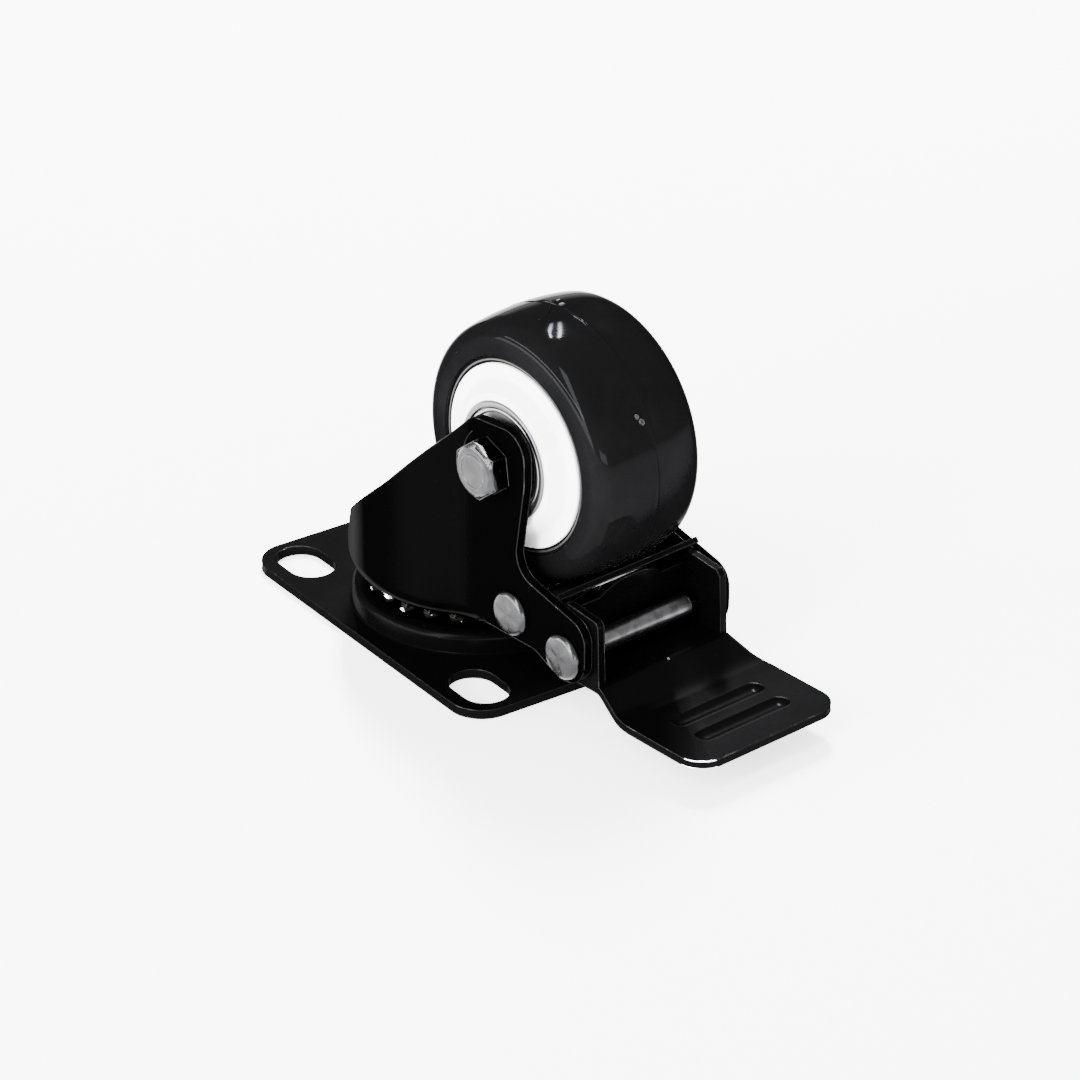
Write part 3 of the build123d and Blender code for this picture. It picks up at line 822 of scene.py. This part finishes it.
class CASTER_OT_tyre(bpy.types.Operator):
    """Moulded tyre with round shoulders, a lip round the hub and a mould line round the tread"""

    bl_idname = "caster.tyre"
    bl_label = "Tyre"

    shoulder: length("Shoulder", "Rounding between sidewall and tread", 3.6)

    # Place across the mould line in half widths, and share of its height there
    seam = ((-2.0, 0.0), (-1.0, 0.35), (-0.5, 0.9), (0.0, 1.0), (0.5, 0.9), (1.0, 0.35), (2.0, 0.0))

    # Radius beyond the hub's, place along the axle and corner radius in mm
    seat = ((0.0, 10.4, 0), (0.0, 11.3, 0.1), (1.1, 11.3, 0.15))
    lip = ((0.45, 11.2, 0), (0.5, 11.6, 0.12), (0.8, 11.6, 0.12), (0.85, 11.2, 0))

    def tread(self, sizes, steps=10):
        """Corners across the tread from side to side, with the mould line in the middle."""
        reach = sizes.wheel_half - 1.2 * self.shoulder
        across = [(reach * (step / steps - 1), 0.0) for step in range(steps)]
        across += [(sizes.seam_width * place, rise) for place, rise in self.seam]
        across += [(reach * (step / steps), 0.0) for step in range(1, steps + 1)]
        return [(tread_radius(sizes, along) + sizes.seam_height * rise, along, 0) for along, rise in across]

    def execute(self, context):
        sizes = context.scene.caster_sizes
        hub = sizes.hub_r
        near = [(hub + r, y, corner) for r, y, corner in in_metres(self.seat)]
        near += [
            (hub + 1.4 * MM, sizes.wheel_half, 0.3 * MM),
            (sizes.wheel_r - sizes.crown_drop, sizes.wheel_half, self.shoulder),
        ]
        far = [(r, -y, corner) for r, y, corner in reversed(near)]
        corners = near + list(reversed(self.tread(sizes))) + far
        mesh = lathe("dressed_tyre", rounded(corners), WHEEL_PLACE)
        add_piece("dressed_tyre", mesh, "wheel", ("tyre",), ("tyre",))
        lips = []
        for side in (-1, 1):
            lip = [(hub + r, side * y, corner) for r, y, corner in in_metres(self.lip)]
            lips.append(lathe("lip", rounded(lip), WHEEL_PLACE))
        # The lips take a grey finish that is a painted highlight along their edge
        join_pieces("tyre_lips_painted_highlight", lips, "wheel", "lip")
        return {"FINISHED"}


class CASTER_OT_gates(bpy.types.Operator):
    """Torn moulding gates on the tread: small nubs, and raised flash beside the first"""

    bl_idname = "caster.gates"
    bl_label = "Moulding gates"

    # Degrees about the axle, mm along it, and for a nub mm across
    nubs = ((94.0, 1.0, 1.1), (98.6, 1.9, 0.8), (30.6, -2.1, 0.9), (28.0, -1.4, 1.1))
    flash = (
        ((102.0, 1.2), (99.0, 0.4), (95.5, -1.0), (93.0, -2.3), (90.5, -4.2), (90.0, -6.0)),
        ((112.0, -0.9), (108.0, -0.3), (104.0, 1.0), (101.0, 0.9)),
        ((93.5, -2.0), (91.0, -1.6), (88.5, -2.2)),
    )
    nub_lift_mm = 0.04
    nub_flatness = 0.5
    raggedness = 0.5
    flash_r = 0.13 * MM
    flash_tip_share = 0.3

    def nub(self, angle, along, size):
        """Small ragged lump, sunk a little into the tread."""
        work = bmesh.new()
        bmesh.ops.create_icosphere(work, subdivisions=3, radius=size / 2 * MM)
        for vert in work.verts:
            ragged = noise.noise(vert.co * 1500 + Vector((angle, along, size)))
            vert.co *= 1 + self.raggedness * ragged
            vert.co.z *= self.nub_flatness
        mesh = bpy.data.meshes.new("nub")
        work.to_mesh(mesh)
        work.free()
        mesh.shade_smooth()
        out = on_tread(angle, along, self.nub_lift_mm)
        upright = Vector((out.x, 0, out.z)).to_track_quat("Z", "Y").to_matrix().to_4x4()
        mesh.transform(WHEEL_PLACE @ Matrix.Translation(out) @ upright)
        return mesh

    def ridge(self, path):
        """Thin raised line along a path on the tread, running out at both ends."""
        line = bpy.data.curves.new("flash", "CURVE")
        line.dimensions = "3D"
        line.bevel_depth = self.flash_r
        line.bevel_resolution = 2
        line.resolution_u = 6
        spline = line.splines.new("NURBS")
        spline.points.add(len(path) - 1)
        for index, (point, (angle, along)) in enumerate(zip(spline.points, path)):
            point.co = (*on_tread(angle, along, 0.0), 1.0)
            point.radius = self.flash_tip_share if index in (0, len(path) - 1) else 1.0
        spline.order_u = 3
        spline.use_endpoint_u = True
        line.use_fill_caps = True
        holder = bpy.data.objects.new("flash", line)
        bpy.context.scene.collection.objects.link(holder)
        mesh = plain_mesh(holder)
        mesh.transform(WHEEL_PLACE)
        return mesh

    def execute(self, context):
        join_pieces("tyre_gates", [self.nub(*place) for place in self.nubs], "wheel", "torn")
        join_pieces("tyre_flash", [self.ridge(path) for path in self.flash], "wheel", "tyre")
        return {"FINISHED"}


class CASTER_OT_hub(bpy.types.Operator):
    """White hub with a raised ring round each bearing"""

    bl_idname = "caster.hub"
    bl_label = "Hub"

    def execute(self, context):
        hub_mm = context.scene.caster_sizes.hub_r / MM
        # Radius, place along the axle and corner radius in mm
        side = [
            (9.0, 7.5, 0),
            (11.0, 7.5, 0),
            (11.0, 14.2, 0.15),
            (12.3, 14.2, 0.5),
            (14.5, 11.8, 1.0),
            (hub_mm, 11.8, 0.3),
            (hub_mm, 10.4, 0),
        ]
        mesh = lathe("dressed_hub", rounded(in_metres(mirrored(side))), WHEEL_PLACE)
        add_piece("dressed_hub", mesh, "wheel", ("hub",), ("wheel_hub",))
        return {"FINISHED"}


class CASTER_OT_bearings(bpy.types.Operator):
    """Outer rings, shields and balls of the two wheel bearings"""

    bl_idname = "caster.bearings"
    bl_label = "Wheel bearings"

    # Radius, place along the axle and corner radius in mm, on the far side of the wheel
    race = (
        (9.2, 8.3, 0), (9.9, 8.3, 0), (9.9, 7.5, 0.15), (11.0, 7.5, 0.4), (11.0, 14.5, 0.45),
        (9.9, 14.5, 0.15), (9.9, 13.7, 0), (9.2, 13.7, 0))
    shield = (
        (6.2, 13.7, 0), (9.7, 13.7, 0), (9.7, 14.35, 0.25), (9.05, 14.35, 0.25), (8.85, 14.0, 0.1),
        (7.1, 14.1, 0.1), (6.9, 14.25, 0.1), (6.2, 14.25, 0.1))
    middle_mm = 11.0
    ball_count = 7
    ball_pitch_r = 7.6 * MM
    ball_r = 1.985 * MM

    def turned(self, name, outline, side):
        """Lathed mesh of an outline on one side of the wheel."""
        corners = in_metres([(r, side * y, corner) for r, y, corner in outline])
        return lathe(name, rounded(corners), WHEEL_PLACE)

    def execute(self, context):
        balls = ball_ring_tree()
        inner_shield = [(r, 2 * self.middle_mm - y, corner) for r, y, corner in self.shield]
        for name, side in (("near", -1), ("far", 1)):
            node = "bearing_outer_" + name
            mesh = self.turned("dressed_" + node, self.race, side)
            add_piece("dressed_" + node, mesh, "wheel", ("steel",), (node,))
            node = "bearing_shields_" + name
            discs = [self.turned("disc", disc, side) for disc in (self.shield, inner_shield)]
            join_pieces("dressed_" + node, discs, "wheel", "shield", (node,))
            mesh = balls.mesh({
                "Count": self.ball_count, "Pitch radius": self.ball_pitch_r, "Ball radius": self.ball_r,
                "Material": finish_for("ball")})
            middle = Matrix.Translation((0, side * self.middle_mm * MM, 0))
            mesh.transform(WHEEL_PLACE @ middle @ STAND_UP)
            node = "bearing_balls_" + name
            add_piece("dressed_" + node, mesh, "wheel_balls", ("ball",), (node,))
        return {"FINISHED"}


class CASTER_OT_swivel_balls(bpy.types.Operator):
    """Both rings of balls in the swivel head"""

    bl_idname = "caster.swivel_balls"
    bl_label = "Swivel balls"

    # Number of balls, then the ring's and a ball's radius in mm
    rings = {"lower_balls": (24, 18.8, 2.25), "upper_balls": (13, 9.5, 2.0)}

    def execute(self, context):
        balls = ball_ring_tree()
        for node, (count, pitch, radius) in self.rings.items():
            mesh = balls.mesh({
                "Count": count, "Pitch radius": pitch * MM, "Ball radius": radius * MM,
                "Material": finish_for("greased_ball_painted_shade")})
            mesh.transform(Matrix.Translation((0, 0, middle_height(node))))
            add_piece("dressed_" + node, mesh, "swivel_balls", ("greased_ball_painted_shade",), (node,))
        return {"FINISHED"}


class CASTER_OT_axle(bpy.types.Operator):
    """Axle bolt and lock nut with worn corners, the ring on the bolt's head and the thread beyond the nut"""

    bl_idname = "caster.axle"
    bl_label = "Axle"

    turns = 1.6
    pitch = 1.0 * MM
    thread_r = 2.92 * MM
    ridge_r = 0.3 * MM
    thread_start = LEG + 6.2 * MM

    # Radius, height over the head's face and corner radius in mm
    head_ring = ((2.75, -0.05, 0), (2.95, 0.05, 0.05), (3.25, 0.05, 0.05), (3.45, -0.05, 0))

    # A face whose normal has less than this share along the axle is a flat of the hexagon
    flat_share = 0.3

    def execute(self, context):
        edge = context.scene.caster_sizes.fastener_edge
        tree = edge_bead_tree()
        along = WHEEL_PLACE.col[1].xyz
        for node in ("axle_bolt", "axle_nut"):
            mesh = edged(node, tree, edge, FASTENER_BEAD_ANGLE)
            # Hexagon flats take the lit copy of the zinc, a painted highlight; the end faces keep the dim
            # copy
            for face in mesh.polygons:
                if not face.material_index and abs(face.normal.dot(along)) < self.flat_share:
                    face.material_index = 2
            finishes = ("zinc", "edge_zinc", "lit_flat_zinc")
            add_piece("dressed_" + node, mesh, "fork", finishes, (node,))
        top = -LEG - BOLT_HEAD
        ring = [(r, top - height, corner) for r, height, corner in in_metres(self.head_ring)]
        mesh = lathe("bolt_head_ring", rounded(ring), WHEEL_PLACE)
        add_piece("bolt_head_ring", mesh, "fork", ("zinc",))
        mesh = thread_tree().mesh({
            "Turns": self.turns, "Radius": self.thread_r, "Height": self.turns * self.pitch,
            "Ridge": self.ridge_r, "Material": finish_for("zinc")})
        mesh.transform(WHEEL_PLACE @ Matrix.Translation((0, self.thread_start, 0)) @ STAND_UP.inverted())
        add_piece("bolt_thread", mesh, "fork", ("zinc",))
        return {"FINISHED"}


class CASTER_OT_rivets(bpy.types.Operator):
    """Two brake rivets with their worked heads, and the sleeve on the pedal's rivet"""

    bl_idname = "caster.rivets"
    bl_label = "Brake rivets"

    shank: length("Shank radius", "Radius of the rivets' shanks", 1.6)
    height: length("Head height", "Height of a head at its middle", 1.5)
    fall: length("Fall", "Fall of a head's face from its middle to its shoulder", 0.25)
    round_off: length("Shoulder", "Rounding of a head's edge", 1.1)
    dimple: length("Dimple", "Depth that the riveting tool leaves in the middle of a head", 0.10)
    flats: length("Flats", "Depth of the four flats about the dimple", 0.05)

    dimple_r = 1.1 * MM
    tail_share = 0.8

    # Place of each rivet, and the phase of its four flats in radians
    rivets = {"shoe_rivet": (SHOE_RIVET_PLACE, 0.4), "pedal_rivet": (PEDAL_RIVET_PLACE, 1.1)}

    def end(self, head_r, way):
        """Corners of one end, from its edge on the leg to its middle."""
        shoulder = self.height - self.fall
        corners = [(head_r, way * LEG, 0), (head_r, way * (LEG + shoulder), self.round_off)]
        for share in (0.6, 0.4, 0.2, 0.0):
            corners.append((share * head_r, way * (LEG + self.height - self.fall * share ** 2), 0))
        return corners

    def outline(self, head_r):
        """Corners of a whole rivet: head, the smaller tail on the far leg, and shank."""
        head = self.end(head_r, -1)
        tail = self.end(self.tail_share * head_r, 1)
        return head + list(reversed(tail)) + [(self.shank, LEG, 0), (self.shank, -LEG, 0)]

    def worked(self, head_r, turn):
        """Dent of a head's face, with the tool's dimple and four flats, as lathe takes it."""
        def dent(radius, along, angle):
            if along > -LEG - 0.5 * self.height:
                return 0.0
            middle = self.dimple * exp(-(radius / self.dimple_r) ** 2)
            around = cos(4 * angle + turn) * sin(pi * min(radius / head_r, 1.0)) ** 2
            return middle + self.flats * around

        return dent

    def execute(self, context):
        sizes = context.scene.caster_sizes
        head_r = sizes.rivet_r
        for node, (place, turn) in self.rivets.items():
            dent = self.worked(head_r, turn)
            mesh = lathe("dressed_" + node, rounded(self.outline(head_r)), place, dent)
            add_piece("dressed_" + node, mesh, "fork", ("rivet_zinc",), (node,))
        mesh = edged("pedal_sleeve", edge_bead_tree(), sizes.fastener_edge, FASTENER_BEAD_ANGLE)
        add_piece("dressed_pedal_sleeve", mesh, "fork", ("dull_zinc", "edge_zinc"), ("pedal_sleeve",))
        return {"FINISHED"}


# Finish of each piece that keeps its solid's shape
INNER_PIECES = {
    "king_pin": "dull_zinc",
    "nut_insert": "nylon",
    "axle_tube": "dull_zinc",
    "axle_spacer": "dull_zinc",
    "axle_washers": "zinc",
    "bearing_inner_near": "steel",
    "bearing_inner_far": "steel",
    "bearing_cage_near": "nylon",
    "bearing_cage_far": "nylon",
}


class CASTER_OT_inner_pieces(bpy.types.Operator):
    """Finishes of the pieces that keep their solid's shape"""

    bl_idname = "caster.inner_pieces"
    bl_label = "Inner pieces"

    def execute(self, context):
        for node, key in INNER_PIECES.items():
            materials = frame["nodes"][node].data.materials
            materials.clear()
            materials.append(finish_for(key))
        return {"FINISHED"}


def from_angles(azimuth, elevation):
    """Unit vector towards a viewer at that azimuth and elevation."""
    flat = cos(elevation)
    return Vector((sin(azimuth) * flat, -cos(azimuth) * flat, sin(elevation)))


# Point that the lamps face, in metres
LAMP_AIM = Vector((0.02, 0, 0.03))

# Name, azimuth, elevation and roll in degrees, distance, width and height in metres, radiance
LAMPS = (
    ("front_low", -10, 3.5, 0, 1.4, 2.0, 0.26, 36.0),
    ("front_high", -12, 20, 0, 1.4, 1.8, 0.10, 70.0),
    ("side_strip", 18, 36, 0, 1.4, 0.28, 1.5, 38.0),
    ("right_low", 66, 5, 0, 1.5, 0.8, 0.2, 22.0),
    ("back_card", -126, 7, 0, 1.5, 0.6, 0.3, 6.0),
    ("back_soft", -123, 29, 0, 1.1, 0.6, 0.4, 6.0),
    ("tube_left", -126.3, 48.4, 9, 1.2, 0.018, 0.42, 1500.0),
    ("tube_right", -131.0, 49.0, 19, 1.2, 0.018, 0.38, 1500.0),
)


def soft_light(name, azimuth, elevation, roll, distance, width, height, radiance):
    """Rectangular lamp that faces the caster."""
    lamp = bpy.data.lights.new(name, "AREA")
    lamp.shape = "RECTANGLE"
    lamp.size = width
    lamp.size_y = height
    lamp.energy = pi * width * height * radiance
    holder = bpy.data.objects.new(name, lamp)
    away = from_angles(radians(azimuth), radians(elevation))
    holder.location = LAMP_AIM + away * distance
    holder.rotation_mode = "QUATERNION"
    turned = Quaternion((0.0, 0.0, 1.0), radians(roll))
    holder.rotation_quaternion = (-away).to_track_quat("-Z", "Y") @ turned
    bpy.context.scene.collection.objects.link(holder)


class CASTER_OT_stage(bpy.types.Operator):
    """Pale floor, soft lamps and the camera"""

    bl_idname = "caster.stage"
    bl_label = "Stage"

    def execute(self, context):
        stage = context.scene.caster_stage
        self.floor()
        self.lights(stage)
        self.camera(context.scene, stage)
        return {"FINISHED"}

    def floor(self):
        reach = 3.0
        under = -0.05 * MM
        mesh = bpy.data.meshes.new("floor")
        square = ((-1, -1), (1, -1), (1, 1), (-1, 1))
        mesh.from_pydata([(x * reach, y * reach, under) for x, y in square], [], [(0, 1, 2, 3)])
        floor = bpy.data.objects.new("floor", mesh)
        bpy.context.scene.collection.objects.link(floor)
        mesh.materials.append(finish_for("floor"))

    def lights(self, stage):
        world = bpy.data.worlds.new("room")
        world.use_nodes = True
        world.node_tree.nodes["Background"].inputs["Color"].default_value = (1.0, 1.0, 1.0, 1.0)
        world.node_tree.nodes["Background"].inputs["Strength"].default_value = stage.room
        bpy.context.scene.world = world
        for *place, radiance in LAMPS:
            soft_light(*place, radiance * stage.lamps)

    def camera(self, scene, stage):
        lens = bpy.data.cameras.new("camera")
        lens.lens = stage.lens
        lens.sensor_width = 36.0
        camera = bpy.data.objects.new("camera", lens)
        away = from_angles(stage.camera_azimuth, stage.camera_elevation)
        camera.location = Vector(stage.camera_aim) + away * stage.camera_distance
        camera.rotation_mode = "QUATERNION"
        camera.rotation_quaternion = (-away).to_track_quat("-Z", "Y")
        scene.collection.objects.link(camera)
        scene.camera = camera


PIECE_OPERATORS = (
    CASTER_OT_pressings,
    CASTER_OT_tyre,
    CASTER_OT_gates,
    CASTER_OT_hub,
    CASTER_OT_bearings,
    CASTER_OT_swivel_balls,
    CASTER_OT_axle,
    CASTER_OT_rivets,
    CASTER_OT_inner_pieces,
    CASTER_OT_stage,
)


class CASTER_PT_sidebar(bpy.types.Panel):
    """Lists the caster's pieces and settings"""

    bl_idname = "CASTER_PT_sidebar"
    bl_label = "Caster"
    bl_space_type = "VIEW_3D"
    bl_region_type = "UI"
    bl_category = "Caster"

    def draw(self, context):
        for operator in PIECE_OPERATORS:
            self.layout.operator(operator.bl_idname)
        for group in ("caster_sizes", "caster_finishes", "caster_stage"):
            settings = getattr(context.scene, group)
            for name in settings.__annotations__:
                self.layout.prop(settings, name)


GROUPS = {"caster_sizes": CasterSizes, "caster_finishes": CasterFinishes, "caster_stage": CasterStage}
CLASSES = (*GROUPS.values(), *PIECE_OPERATORS, CASTER_PT_sidebar)


def register():
    for made in CLASSES:
        bpy.utils.register_class(made)
    for name, group in GROUPS.items():
        setattr(bpy.types.Scene, name, PointerProperty(type=group))


def unregister():
    for name in GROUPS:
        delattr(bpy.types.Scene, name)
    for made in reversed(CLASSES):
        bpy.utils.unregister_class(made)


def main():
    register()
    for operator in PIECE_OPERATORS:
        group, name = operator.bl_idname.split(".")
        getattr(getattr(bpy.ops, group), name)()


if __name__ == "__main__":
    main()
